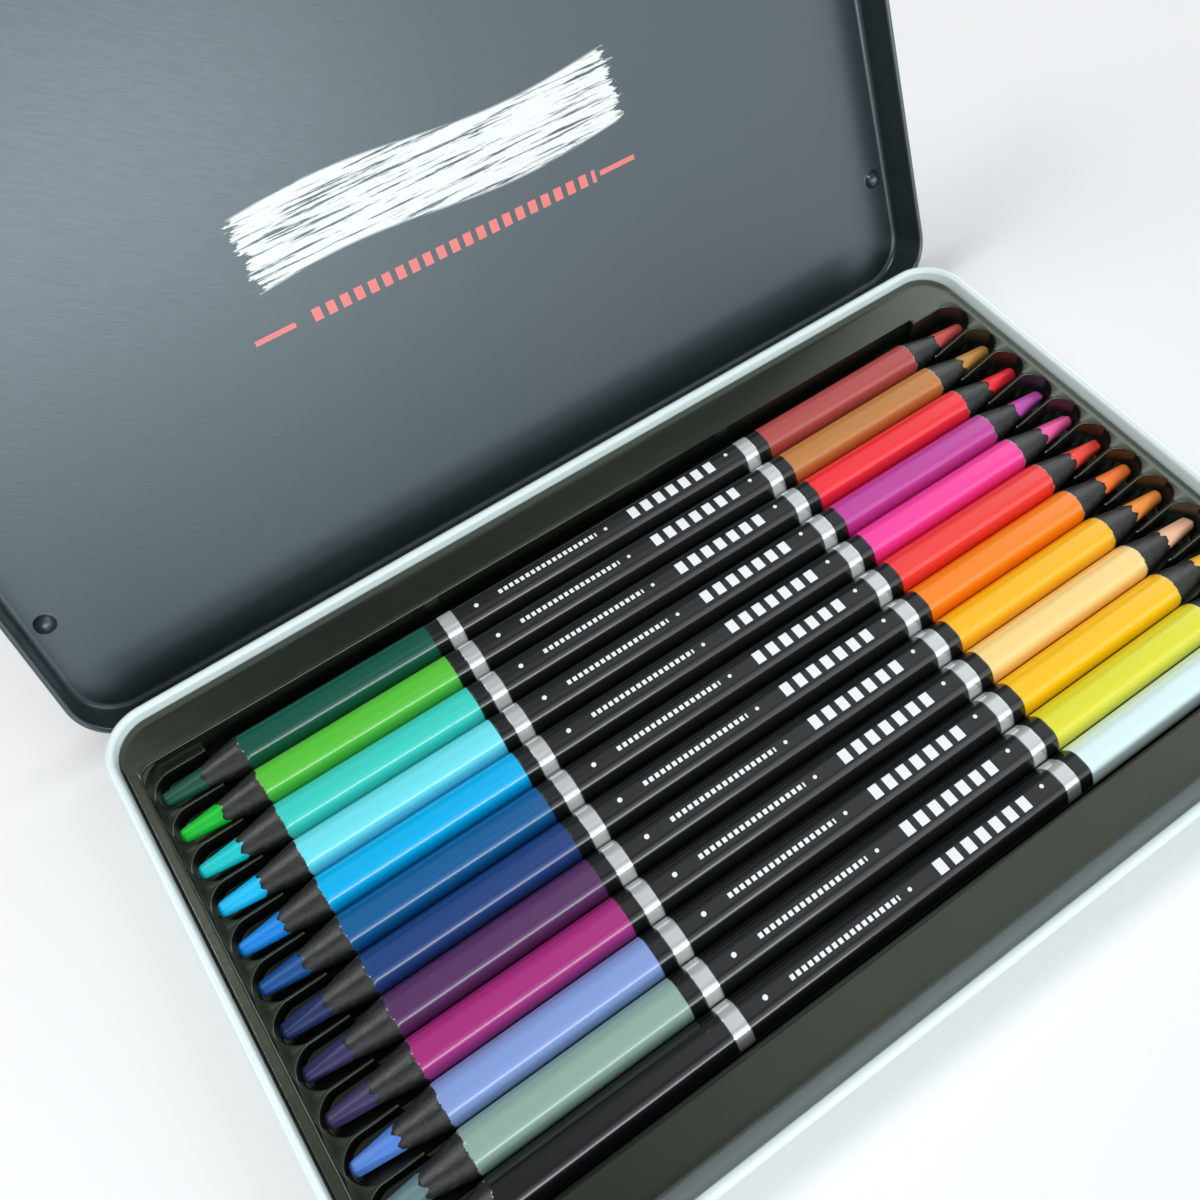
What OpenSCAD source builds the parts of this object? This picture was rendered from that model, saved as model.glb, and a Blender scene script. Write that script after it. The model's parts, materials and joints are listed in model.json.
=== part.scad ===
// Hinged flat tin with a formed tray and a row of pencils sharpened at both ends.
// The origin is at the middle of the pan's underside. X runs along the pencils, +Y is the hinge side
// and Z is up. The lid is drawn open, as the tin stands in use.

/* [Pencils] */
// Number of pencils, side by side
pencil_count = 12; // [4:1:16]
// Length over both points
pencil_length = 178; // [150:1:200]
// Width across two opposite flats
pencil_flats = 6.9; // [6:0.05:7.6]
// Radius that rounds the six long edges
pencil_edge_r = 2.2; // [1.6:0.05:3]
// Free space between the edges of neighbouring pencils
pencil_gap = 0.163; // [0.1:0.01:1]
// Diameter of the coloured lead
lead_d = 4; // [3:0.1:4.6]
// Bare lead between the wood and the tip
lead_bare = 7.8; // [5:0.1:11]
// Narrowing of the bare lead, each side
lead_taper = 5.5; // [3:0.1:8]
// Radius of the lead's blunt nose
lead_nose_r = 1.5; // [1.35:0.05:1.8]
// Slope of the sharpened wood, each side
wood_taper = 11.65; // [9:0.05:16]
// Length of the black sleeve in the middle
sleeve_length = 73.8; // [50:0.2:100]
// Width of each silver foil band
foil_width = 3; // [1:0.1:6]
// Black left showing outside each foil band
foil_inset = 2.5; // [1:0.1:6]

/* [Tin plate] */
// Thickness of the plate
sheet = 0.25; // [0.2:0.01:0.35]
// Diameter of the rolled rim of the pan
rim_d = 1.64; // [1.2:0.02:2.2]
// Height of the rim's centre above the pencils
rim_above_pencils = 1.75; // [1.6:0.05:5]
// Corner radius along the rim's centre line
corner_r = 8; // [6:0.5:14]
// Outer radius of the pan's bottom edge
bottom_r = 1.5; // [0.8:0.1:2]

/* [Lid] */
// Free space between the rim and the lid's skirt
lid_gap = 0.15; // [0.1:0.01:0.5]
// Free space between the rim and the closed lid's panel
panel_gap = 0.1; // [0.05:0.01:0.5]
// Diameter of the rolled hem round the skirt
hem_d = 1.1; // [0.9:0.02:1.5]
// Depth of the hem's centre below the rim's centre
hem_below_rim = 6.3; // [5:0.1:6.8]
// Inner radius where the skirt turns into the panel
fold_r = 1; // [0.5:0.1:2]
// Angle that the lid opens to
open_angle = 116.4; // [90:0.1:118]
// Diameter of the two snap dimples
dimple_d = 3.6; // [2.4:0.1:4.4]
// Depth of the snap dimples
dimple_depth = 1.5; // [0.8:0.1:1.6]
// Distance of the snap dimples from the hinge line
dimple_from_hinge = 22; // [15:1:90]
// Distance from the dimple's centre to the pan's wall
dimple_from_wall = 1.8; // [1.8:0.1:6]

/* [Hinge] */
// Width of each curled tab
tab_width = 20.8; // [10:0.2:30]
// Distance between the middles of the two tabs
tab_spacing = 95.2; // [60:0.4:130]
// Running clearance between tab and hem
tab_play = 0.08; // [0.03:0.01:0.1]
// How far each tab wraps round the hem, in degrees
tab_wrap = 240; // [200:5:250]
// Free space at each side of a tab in the lid's slot
slot_side_gap = 0.5; // [0.3:0.1:1.5]
// Height of the lid's slots above the hem's centre
slot_height = 2.2; // [1.6:0.1:3]

/* [Tray] */
// Thickness of the formed plastic
tray_sheet = 0.4; // [0.3:0.05:0.6]
// Height of the ledge above the pencils
ledge_above_pencils = 0.35; // [0:0.05:1]
// Free space between a pencil's tip and its pocket
tip_gap = 0.6; // [0.4:0.05:2]
// Ledge beyond the pockets at both ends
end_ledge = 2; // [1.6:0.1:5]
// Ledge on the hinge side
back_ledge = 8.45; // [5:0.05:15]
// Ledge on the front side
front_ledge = 7.6; // [5:0.1:15]
// Free space between the tray and each end wall
tray_end_gap = 0.5; // [0.3:0.05:2]
// Free space between the tray and the hinge wall
tray_back_gap = 0.1; // [0.05:0.01:1]
// Free space between the tray and the front wall
tray_front_gap = 2.95; // [0.5:0.05:5]
// Extra pitch of the pockets over the pencils
pocket_slack = 0.1; // [0:0.02:0.3]
// Space beside the outermost pockets
recess_margin = 0.75; // [0.3:0.05:3]
// How far the row of pencils lies towards the front
pencils_forward = 0.3; // [0:0.05:0.4]
// Thickness of the ribs between the pockets
rib_thickness = 0.5; // [0.4:0.05:0.8]
// Length of the ribs
rib_length = 10.6; // [8:0.1:12]
// Depth of the low ribs below the pencils' tops
rib_drop = 3; // [2:0.1:4]
// Length over which the ribs at the warm end rise
rib_rise_length = 8; // [5:0.1:9]
// Radius of the two curves that close each pocket
pocket_nose_r = 4.3; // [4:0.1:8]
// Corner radius of the tray's recess
recess_corner_r = 2.2; // [1:0.1:4]
// Step out of the recess above the low ribs
recess_step = 0.2; // [0.1:0.05:0.4]
// Free height between the tray's skirt and the bend at the pan's bottom edge
skirt_lift = 0.3; // [0.1:0.1:2]

/* [Hidden] */
$fn = 72;
over = 1;

cool_colors = ["#0f5a3c", "#1c9a4a", "#1fa79a", "#5cc6dc", "#2f9fe0", "#1f6fc4",
               "#23408f", "#3f2a78", "#b0337f", "#6f86c9", "#8d9a8c", "#1d1d20"];
warm_colors = ["#a5352c", "#b07a2a", "#cf2f2a", "#a04fa8", "#d6488f", "#e0442c",
               "#ee7a22", "#f0a02c", "#f3c79a", "#f4cf2e", "#b6cf3c", "#f4f4ef"];
sleeve_color = "#18181a";
foil_color = "#d9dadb";
plate_color = "#eceded";
lid_color = "#2a2b2d";
tray_color = "#1c1d1e";

// Pencil
flat_r = pencil_flats / 2;
corner_centre = (flat_r - pencil_edge_r) / cos(30);
edge_reach = corner_centre + pencil_edge_r;
pencil_pitch = 2 * edge_reach + pencil_gap;
lead_r = lead_d / 2;
tip_x = pencil_length / 2;
wood_end_x = tip_x - lead_bare;
cone_start_x = wood_end_x - (edge_reach + over - lead_r) / tan(wood_taper);
sleeve_x = sleeve_length / 2;
foil_out_x = sleeve_x - foil_inset;
foil_in_x = foil_out_x - foil_width;

// Heights, from the underside up
tray_floor_z = sheet;
pencil_z = tray_floor_z + tray_sheet;
axis_z = pencil_z + flat_r;
pencil_top_z = pencil_z + pencil_flats;
ledge_z = pencil_top_z + ledge_above_pencils;
skirt_z = bottom_r + skirt_lift;
rib_z = pencil_top_z - rib_drop;
rim_z = pencil_top_z + rim_above_pencils;

// Rows, from the hinge wall forwards
pocket_pitch = pencil_pitch + pocket_slack;
recess_half_x = tip_x + tip_gap;
recess_half_y = pencil_count * pocket_pitch / 2 + recess_margin;
inner_half_x = recess_half_x + end_ledge + tray_end_gap;
inner_half_y = recess_half_y + (tray_back_gap + back_ledge + front_ledge + tray_front_gap) / 2;
tray_half_x = recess_half_x + end_ledge;
tray_back_y = inner_half_y - tray_back_gap;
tray_front_y = -inner_half_y + tray_front_gap;
tray_y = (tray_back_y + tray_front_y) / 2;
tray_depth = tray_back_y - tray_front_y;
recess_y = tray_back_y - back_ledge - recess_half_y;
first_pocket_y = recess_y + (pencil_count - 1) / 2 * pocket_pitch;
first_pencil_y = recess_y - pencils_forward + (pencil_count - 1) / 2 * pencil_pitch;

// Rim and lid
rim_r = rim_d / 2;
hem_r = hem_d / 2;
rim_half_x = inner_half_x + rim_r;
rim_half_y = inner_half_y + rim_r;
wall_out = sheet - rim_r;
skirt_out = rim_r + lid_gap;
hem_out = skirt_out + hem_r;
hem_z = rim_z - hem_below_rim;
hinge_y = rim_half_y + hem_out;
panel_z = rim_z + rim_r + panel_gap;
tab_in_r = hem_r + tab_play;
tab_out_r = tab_in_r + sheet;
tab_mean_r = (tab_in_r + tab_out_r) / 2;
tab_run = hinge_y - inner_half_y - sheet;
window_height = tab_run + tab_mean_r * tab_wrap * PI / 180;
tray_corner_r = corner_r - rim_r - tray_end_gap;
recess_wall = recess_step + tray_sheet;

// Pockets. The curves of the noses start a little outside the straight sides, so they cross at an angle.
nose_bulge = 0.1;
pocket_half = (pocket_pitch - rib_thickness) / 2;
nose_offset = pocket_nose_r - pocket_half - nose_bulge;
nose_x = recess_half_x - sqrt(pocket_nose_r * pocket_nose_r - nose_offset * nose_offset);
rib_start_x = recess_half_x - rib_length;

function pencil_name(i) = str("pencil_", i < 9 ? "0" : "", i + 1);

// A rectangle with round corners, centred
module round_rect(half_x, half_y, r) {
    square([2 * (half_x - r), 2 * half_y], center = true);
    square([2 * half_x, 2 * (half_y - r)], center = true);
    for (x = [-1, 1])
        for (y = [-1, 1])
            translate([x * (half_x - r), y * (half_y - r)])
                circle(r);
}

// Carries a section round a rectangle with round corners. In the section x is outwards and y is up.
module around_rect(half_x, half_y, r) {
    for (side = [0 : 3]) {
        reach = side % 2 == 0 ? half_x : half_y;
        run = (side % 2 == 0 ? half_y : half_x) - r;
        rotate([0, 0, 90 * side]) {
            translate([reach, run, 0])
                rotate([90, 0, 0])
                    linear_extrude(2 * run)
                        children();
            translate([reach - r, run, 0])
                rotate_extrude(angle = 90)
                    translate([r, 0])
                        children();
        }
    }
}

// The outer lower quarter of a ring, which turns a wall into a floor
module bend(r_in, r_out) {
    intersection() {
        difference() {
            circle(r_out);
            circle(r_in);
        }
        translate([0, -r_out])
            square(r_out);
    }
}

// Pan ------------------------------------------------------------------

module pan_section() {
    translate([-rim_r, bottom_r])
        square([sheet, rim_z - bottom_r]);
    translate([0, rim_z])
        circle(rim_r);
    translate([wall_out - bottom_r, bottom_r])
        bend(bottom_r - sheet, bottom_r);
}

// Opening that the tab was pressed out of, and the tab's section: a run out from the wall, then the curl
module tab_window() {
    translate([-tab_width / 2, inner_half_y - over, hem_z - tab_out_r])
        cube([tab_width, sheet + 2 * over, window_height]);
}

module tab_section() {
    difference() {
        circle(tab_out_r);
        circle(tab_in_r);
        curl_end = tab_wrap - 90;
        run_start = 270;
        polygon(concat(
            [[0, 0]],
            [for (a = [curl_end : (run_start - curl_end) / 4 : run_start]) 2 * tab_out_r * [cos(a), sin(a)]]));
    }
    translate([inner_half_y - hinge_y, -tab_out_r])
        square([hinge_y - inner_half_y, sheet]);
}

module hinge_tab() {
    translate([-tab_width / 2, hinge_y, hem_z])
        rotate([90, 0, 90])
            linear_extrude(tab_width)
                tab_section();
}

module base_pan() {
    color(plate_color) {
        difference() {
            around_rect(rim_half_x, rim_half_y, corner_r)
                pan_section();
            for (side = [-1, 1])
                translate([side * tab_spacing / 2, 0, 0])
                    tab_window();
        }
        floor_in = rim_r - sheet + bottom_r;
        linear_extrude(sheet)
            round_rect(rim_half_x - floor_in, rim_half_y - floor_in, corner_r - floor_in);
        for (side = [-1, 1])
            translate([side * tab_spacing / 2, 0, 0])
                hinge_tab();
    }
}

// Lid ------------------------------------------------------------------

module skirt_section() {
    translate([skirt_out, hem_z])
        square([sheet, panel_z - fold_r - hem_z]);
    translate([skirt_out - fold_r, panel_z - fold_r])
        mirror([0, 1])
            bend(fold_r, fold_r + sheet);
}

module lid_panel() {
    panel_in = fold_r - skirt_out;
    translate([0, 0, panel_z])
        linear_extrude(sheet)
            round_rect(rim_half_x - panel_in, rim_half_y - panel_in, corner_r - panel_in);
}

// Pressed dome on the inner side: a cap of a ball, hollow from above
dimple_ball_r = (dimple_d * dimple_d / 4 + dimple_depth * dimple_depth) / (2 * dimple_depth);

module at_dimples() {
    for (side = [-1, 1])
        translate([side * (inner_half_x - dimple_from_wall), hinge_y - dimple_from_hinge,
                   panel_z - dimple_depth + dimple_ball_r])
            children();
}

module closed_lid() {
    difference() {
        union() {
            around_rect(rim_half_x, rim_half_y, corner_r)
                skirt_section();
            lid_panel();
            intersection() {
                at_dimples()
                    sphere(dimple_ball_r);
                translate([-rim_half_x, -rim_half_y, panel_z + sheet / 2 - 2 * dimple_depth])
                    cube([2 * rim_half_x, 2 * rim_half_y, 2 * dimple_depth]);
            }
        }
        at_dimples()
            sphere(dimple_ball_r - sheet);
        for (side = [-1, 1])
            translate([side * tab_spacing / 2 - tab_width / 2 - slot_side_gap,
                       rim_half_y + skirt_out - sheet, hem_z - over])
                cube([tab_width + 2 * slot_side_gap, 3 * sheet, slot_height + over]);
    }
    around_rect(rim_half_x, rim_half_y, corner_r)
        translate([hem_out, hem_z])
            circle(hem_r);
}

module lid_shell() {
    color(lid_color)
        translate([0, hinge_y, hem_z])
            rotate([-open_angle, 0, 0])
                translate([0, -hinge_y, -hem_z])
                    closed_lid();
}

// Tray -----------------------------------------------------------------

// Outline of one pocket at the +X end: straight sides closed by two curves
module pocket_side(side) {
    translate([nose_x, side * nose_offset])
        circle(pocket_nose_r);
    translate([rib_start_x - 2 * over, -2 * pocket_nose_r])
        square([nose_x - rib_start_x + 2 * over, 4 * pocket_nose_r]);
}

module pocket_outline() {
    intersection() {
        translate([rib_start_x - over, -pocket_half])
            square([rib_length + 2 * over, 2 * pocket_half]);
        pocket_side(1);
        pocket_side(-1);
    }
}

module pockets() {
    for (i = [0 : pencil_count - 1])
        translate([0, first_pocket_y - i * pocket_pitch, pencil_z])
            linear_extrude(ledge_z)
                pocket_outline();
}

// The recess between the ribs, the pockets between the ribs, and the space above the ribs, which are
// low at the -X end and climb to the ledge at the +X end
module recess() {
    translate([0, recess_y, pencil_z])
        linear_extrude(ledge_z)
            round_rect(rib_start_x, recess_half_y, recess_corner_r);
    pockets();
    mirror([1, 0, 0])
        pockets();
    translate([(rib_start_x - recess_half_x) / 2, recess_y, rib_z])
        linear_extrude(ledge_z)
            round_rect((rib_start_x + recess_half_x) / 2 + recess_step, recess_half_y + recess_step,
                       recess_corner_r + recess_step);
    rib_slope = (ledge_z - rib_z) / rib_rise_length;
    rib_row = (pencil_count - 1) * pocket_pitch;
    translate([0, recess_y + rib_row / 2, 0])
        rotate([90, 0, 0])
            linear_extrude(rib_row)
                polygon([
                    [rib_start_x - over, rib_z - over * rib_slope],
                    [rib_start_x + rib_rise_length, ledge_z],
                    [rib_start_x + rib_rise_length + over, ledge_z + over * rib_slope],
                    [rib_start_x - over, ledge_z + over * rib_slope]
                ]);
}

// Outline of the formed recess seen from below
module recess_outside() {
    translate([0, recess_y])
        round_rect(recess_half_x + recess_wall, recess_half_y + recess_wall, recess_corner_r + recess_wall);
}

module pencil_tray() {
    color(tray_color)
        difference() {
            union() {
                translate([0, tray_y, skirt_z])
                    linear_extrude(ledge_z - skirt_z)
                        round_rect(tray_half_x, tray_depth / 2, tray_corner_r);
                translate([0, 0, tray_floor_z])
                    linear_extrude(ledge_z - tray_sheet / 2 - tray_floor_z)
                        recess_outside();
            }
            recess();
            translate([0, 0, tray_floor_z - over])
                linear_extrude(ledge_z - tray_sheet - tray_floor_z + over)
                    difference() {
                        translate([0, tray_y])
                            round_rect(tray_half_x - tray_sheet, tray_depth / 2 - tray_sheet,
                                       tray_corner_r - tray_sheet);
                        recess_outside();
                    }
        }
}

// Pencils --------------------------------------------------------------

module along_x() {
    rotate([90, 0, 90])
        children();
}

module rounded_hexagon() {
    circle(corner_centre, $fn = 6);
    for (k = [0 : 5])
        rotate(60 * k)
            translate([corner_centre, 0])
                circle(pencil_edge_r);
    for (k = [0 : 2])
        rotate(60 * k)
            square([corner_centre, pencil_flats], center = true);
}

module at_pencil(i) {
    translate([0, first_pencil_y - i * pencil_pitch, axis_z])
        children();
}

// Stretch of the barrel between two places along it
module barrel(from, to) {
    translate([from, 0, 0])
        along_x()
            linear_extrude(to - from)
                rounded_hexagon();
}

// Coloured end of the barrel, cut by the sharpener's cone
module sharpened_end() {
    intersection() {
        barrel(sleeve_x, wood_end_x);
        union() {
            translate([sleeve_x - over, 0, 0])
                along_x()
                    cylinder(h = cone_start_x - sleeve_x + over, r = edge_reach + over);
            translate([cone_start_x, 0, 0])
                along_x()
                    cylinder(h = wood_end_x - cone_start_x, r1 = edge_reach + over, r2 = lead_r);
        }
    }
}

module pencil_casing(i) {
    at_pencil(i)
        difference() {
            union() {
                color(warm_colors[i % len(warm_colors)])
                    sharpened_end();
                color(cool_colors[i % len(cool_colors)])
                    mirror([1, 0, 0])
                        sharpened_end();
                color(sleeve_color)
                    barrel(-foil_in_x, foil_in_x);
                for (side = [0, 1])
                    mirror([side, 0, 0]) {
                        color(foil_color)
                            barrel(foil_in_x, foil_out_x);
                        color(sleeve_color)
                            barrel(foil_out_x, sleeve_x);
                    }
            }
            translate([-tip_x, 0, 0])
                along_x()
                    cylinder(h = pencil_length, r = lead_r);
        }
}

// Lead from the middle of the pencil to one tip
module lead() {
    nose_x = tip_x - lead_nose_r;
    intersection() {
        union() {
            along_x()
                cylinder(h = wood_end_x, r = lead_r);
            translate([wood_end_x, 0, 0])
                along_x()
                    cylinder(h = lead_bare, r1 = lead_r, r2 = lead_r - lead_bare * tan(lead_taper));
        }
        union() {
            along_x()
                cylinder(h = nose_x, r = lead_r + over);
            translate([nose_x, 0, 0])
                sphere(lead_nose_r);
        }
    }
}

module pencil_lead_warm(i) {
    color(warm_colors[i % len(warm_colors)])
        at_pencil(i)
            lead();
}

module pencil_lead_cool(i) {
    color(cool_colors[i % len(cool_colors)])
        at_pencil(i)
            mirror([1, 0, 0])
                lead();
}

base_pan();
lid_shell();
pencil_tray();
for (i = [0 : pencil_count - 1]) {
    pencil_casing(i);
    pencil_lead_warm(i);
    pencil_lead_cool(i);
}
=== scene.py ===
import json
import math

import bpy
import numpy as np
from mathutils import Matrix, Vector


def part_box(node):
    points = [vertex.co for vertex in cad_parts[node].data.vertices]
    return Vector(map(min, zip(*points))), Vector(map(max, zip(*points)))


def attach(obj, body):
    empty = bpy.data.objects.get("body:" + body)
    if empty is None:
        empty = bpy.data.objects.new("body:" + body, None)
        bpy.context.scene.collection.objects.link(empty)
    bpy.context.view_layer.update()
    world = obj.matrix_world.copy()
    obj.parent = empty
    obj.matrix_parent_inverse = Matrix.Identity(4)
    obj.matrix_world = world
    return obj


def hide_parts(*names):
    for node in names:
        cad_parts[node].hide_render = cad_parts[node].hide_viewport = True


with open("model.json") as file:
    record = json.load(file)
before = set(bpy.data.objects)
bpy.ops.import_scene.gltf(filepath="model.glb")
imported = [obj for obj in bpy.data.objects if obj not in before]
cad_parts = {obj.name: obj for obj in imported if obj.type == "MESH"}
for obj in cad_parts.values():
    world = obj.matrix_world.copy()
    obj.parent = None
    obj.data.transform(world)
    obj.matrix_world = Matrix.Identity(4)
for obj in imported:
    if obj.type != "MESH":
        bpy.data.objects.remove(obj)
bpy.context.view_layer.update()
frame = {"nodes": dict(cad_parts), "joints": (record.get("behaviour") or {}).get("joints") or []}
print("frame loaded")

# Everything below is worked out in millimetres and goes into the meshes in metres
mm = 0.001


def boxOf(node):
    low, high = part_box(node)
    return np.array(low) / mm, np.array(high) / mm


def jointNamed(name):
    return next(j for j in frame["joints"] if j["name"] == name)


def gridQuads(rows, columns, closedRows=False, closedColumns=False):
    # corner numbers of the quads between neighbouring points of a rows x columns grid
    a, b = np.meshgrid(np.arange(rows if closedRows else rows - 1),
                       np.arange(columns if closedColumns else columns - 1), indexing="ij")
    nextA = (a + 1) % rows
    nextB = (b + 1) % columns
    corners = [a * columns + b, nextA * columns + b, nextA * columns + nextB, a * columns + nextB]
    return np.stack(corners, axis=-1).reshape(-1, 4)


def capQuads(loop):
    # closes a flat convex loop with quads between its two halves
    loop = np.asarray(loop)
    half = len(loop) // 2
    near = loop[:half]
    far = loop[::-1][:half]
    return np.stack([near[:-1], near[1:], far[1:], far[:-1]], axis=-1)


def facedOut(points, quads):
    # the signed volume is negative when the faces look inwards, and then their order is turned round
    a, b, c, d = (points[quads[:, k]] for k in range(4))
    volume = (np.cross(a, b) * c).sum() + (np.cross(a, c) * d).sum()
    return quads if volume > 0 else quads[:, ::-1]


def joined(parts):
    # several closed shapes as one list of points and one of quads
    allPoints = []
    allQuads = []
    first = 0
    for points, quads in parts:
        allPoints.append(points)
        allQuads.append(facedOut(points, quads) + first)
        first += len(points)
    return np.vstack(allPoints), np.vstack(allQuads)


def makePiece(name, points, quads, body, material, nodes, attributes=()):
    # attributes: values per point, either single ones or vectors
    mesh = bpy.data.meshes.new(name)
    mesh.from_pydata((points * mm).tolist(), [], quads.tolist())
    mesh.polygons.foreach_set("use_smooth", np.ones(len(quads), dtype=bool))
    for key, values in dict(attributes).items():
        values = np.asarray(values, dtype=np.float32)
        if values.ndim == 1:
            mesh.attributes.new(key, "FLOAT", "POINT").data.foreach_set("value", values)
        else:
            mesh.attributes.new(key, "FLOAT_VECTOR", "POINT").data.foreach_set("vector", values.ravel())
    mesh.materials.append(material)
    mesh.update()
    piece = bpy.data.objects.new(name, mesh)
    bpy.context.scene.collection.objects.link(piece)
    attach(piece, body)
    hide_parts(*nodes)
    return piece


def sharpenBy(piece, degrees):
    # edges that turn by more than this many degrees stay crisp
    piece.data.set_sharp_from_angle(angle=math.radians(degrees))


def arc(centreX, centreY, radius, fromDegrees, toDegrees, steps):
    # points at even angles round a centre
    angle = np.radians(np.linspace(fromDegrees, toDegrees, steps + 1))
    return np.stack([centreX + radius * np.cos(angle), centreY + radius * np.sin(angle)], axis=-1)


def roundedPath(halfX, halfY, cornerR, steps, backStops=()):
    # walks a rectangle with round corners anticlockwise from the +X side: points and outward normals.
    # backStops adds places along the +Y side.
    points = []
    normals = []
    for corner, (signX, signY) in enumerate(((1, 1), (-1, 1), (-1, -1), (1, -1))):
        angle = np.radians(90 * corner + np.linspace(0, 90, steps + 1))
        direction = np.stack([np.cos(angle), np.sin(angle)], axis=-1)
        centre = np.array([signX * (halfX - cornerR), signY * (halfY - cornerR)])
        points.append(centre + cornerR * direction)
        normals.append(direction)
        if corner == 0 and len(backStops):
            stops = np.sort(np.asarray(backStops))[::-1]
            points.append(np.stack([stops, np.full(len(stops), halfY)], axis=-1))
            normals.append(np.tile([0.0, 1.0], (len(stops), 1)))
    return np.vstack(points), np.vstack(normals)


def carried(section, path, normals):
    # a profile carried along a path: out along the path's normal, up along Z
    flat = path[:, None, :] + section[None, :, :1] * normals[:, None, :]
    up = np.broadcast_to(section[None, :, 1:], flat.shape[:2] + (1,))
    return np.concatenate([flat, up], axis=-1)


def setInputs(tree, node, inputs):
    # a socket as value becomes a link, anything else a constant
    for key, value in inputs.items():
        if isinstance(value, bpy.types.NodeSocket):
            tree.links.new(value, node.inputs[key])
        else:
            node.inputs[key].default_value = value


def addNode(tree, kind, inputs=(), **settings):
    made = tree.nodes.new(kind)
    for key, value in settings.items():
        setattr(made, key, value)
    setInputs(tree, made, dict(inputs))
    return made


def maths(tree, operation, *values):
    return addNode(tree, "ShaderNodeMath", enumerate(values), operation=operation).outputs[0]


def times(tree, first, *others):
    # the product of all the values
    for value in others:
        first = maths(tree, "MULTIPLY", first, value)
    return first


def linear(tree, value, factor, offset):
    # value * factor + offset
    return maths(tree, "MULTIPLY_ADD", value, factor, offset)


def between(tree, value, low, high):
    # 0 up to low, 1 from high on, smooth between them; low may be the larger
    return addNode(tree, "ShaderNodeMapRange", {"Value": value, "From Min": low, "From Max": high},
                   interpolation_type="SMOOTHSTEP").outputs["Result"]


def within(tree, value, low, high, edge):
    # 1 from low to high and 0 outside, with both ends smoothed over edge to each side
    return times(tree, between(tree, value, low - edge, low + edge),
                 between(tree, value, high + edge, high - edge))


def strokes(tree, x, start, end, pitch, full, gone, edge):
    # marks at an even pitch from start to end, each printed up to a share of the pitch and gone from another
    step = maths(tree, "FRACT", maths(tree, "DIVIDE", maths(tree, "SUBTRACT", x, start), pitch))
    return times(tree, between(tree, step, gone, full), within(tree, x, start, end, edge))


def mixColors(tree, mask, first, second):
    return addNode(tree, "ShaderNodeMix", {0: mask, 6: first, 7: second}, data_type="RGBA").outputs[2]


def mixValues(tree, mask, first, second):
    return addNode(tree, "ShaderNodeMix", {0: mask, 2: first, 3: second}, data_type="FLOAT").outputs[0]


def noise(tree, place, scale, detail=3.0, roughness=0.5):
    return addNode(tree, "ShaderNodeTexNoise", {"Vector": place, "Scale": scale, "Detail": detail,
                                                "Roughness": roughness}).outputs["Fac"]


def stretched(tree, place, scale):
    return addNode(tree, "ShaderNodeVectorMath", {0: place, 1: scale}, operation="MULTIPLY").outputs[0]


def bump(tree, height, strength, distance, normal=None):
    inputs = {"Height": height, "Strength": strength, "Distance": distance}
    if normal is not None:
        inputs["Normal"] = normal
    return addNode(tree, "ShaderNodeBump", inputs).outputs["Normal"]


def attributeOf(tree, name, output):
    return addNode(tree, "ShaderNodeAttribute", attribute_name=name).outputs[output]


def objectPlace(tree):
    return addNode(tree, "ShaderNodeTexCoord").outputs["Object"]


def rgb(code):
    # a web colour as the linear values that Blender works in
    values = np.array([int(code[k:k + 2], 16) for k in (1, 3, 5)]) / 255
    bright = np.where(values <= 0.04045, values / 12.92, ((values + 0.055) / 1.055) ** 2.4)
    return (*bright.tolist(), 1.0)


def newMaterial(name):
    material = bpy.data.materials.new(name)
    material.use_nodes = True
    tree = material.node_tree
    return material, tree, tree.nodes["Principled BSDF"]


def newGroup(name, inputs, outputs):
    group = bpy.data.node_groups.new(name, "ShaderNodeTree")
    for label, kind in inputs.items():
        group.interface.new_socket(label, in_out="INPUT", socket_type="NodeSocket" + kind)
    for label, kind in outputs.items():
        group.interface.new_socket(label, in_out="OUTPUT", socket_type="NodeSocket" + kind)
    return group, group.nodes.new("NodeGroupInput"), group.nodes.new("NodeGroupOutput")


def placeGroup(tree, group, inputs):
    return addNode(tree, "ShaderNodeGroup", inputs, node_tree=group).outputs


def sprayGrain():
    # fine mottling of a sprayed or moulded skin: a value about 1 for colour and roughness, and a height
    group, ends, out = newGroup("sprayGrain", {"Place": "Vector", "Scale": "Float", "Amount": "Float"},
                                {"Tone": "Float", "Height": "Float"})
    place, scale, amount = (ends.outputs[label] for label in ("Place", "Scale", "Amount"))
    fine = noise(group, place, scale, 4.0, 0.6)
    broad = noise(group, place, times(group, scale, 0.08), 2.0)
    both = linear(group, fine, 0.5, times(group, broad, 0.5))
    tone = linear(group, maths(group, "SUBTRACT", both, 0.5), amount, 1.0)
    setInputs(group, out, {"Tone": tone, "Height": fine})
    return group


sprayGrainGroup = sprayGrain()


def grainOf(tree, place, finish):
    return placeGroup(tree, sprayGrainGroup, {"Place": place, "Scale": finish["grainScale"],
                                              "Amount": finish["grainAmount"]})


def toned(tree, color, tone):
    # a colour made a little lighter or darker by a value about 1
    return addNode(tree, "ShaderNodeVectorMath", {0: color[:3], "Scale": tone}, operation="SCALE").outputs[0]


panFinish = {"white": "#dfedec", "roughness": 0.34, "coat": 0.35, "coatRoughness": 0.15,
             "grainScale": 900.0, "grainAmount": 0.05, "grainDepth": 0.00002}


def whiteLacquer():
    # satin white lacquer, the same inside and outside
    material, tree, shader = newMaterial("whiteLacquer")
    grain = grainOf(tree, objectPlace(tree), panFinish)
    setInputs(tree, shader, {
        "Base Color": toned(tree, rgb(panFinish["white"]), grain["Tone"]),
        "Roughness": times(tree, grain["Tone"], panFinish["roughness"]),
        "Coat Weight": panFinish["coat"], "Coat Roughness": panFinish["coatRoughness"],
        "Normal": bump(tree, grain["Height"], 0.1, panFinish["grainDepth"])})
    return material


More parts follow.
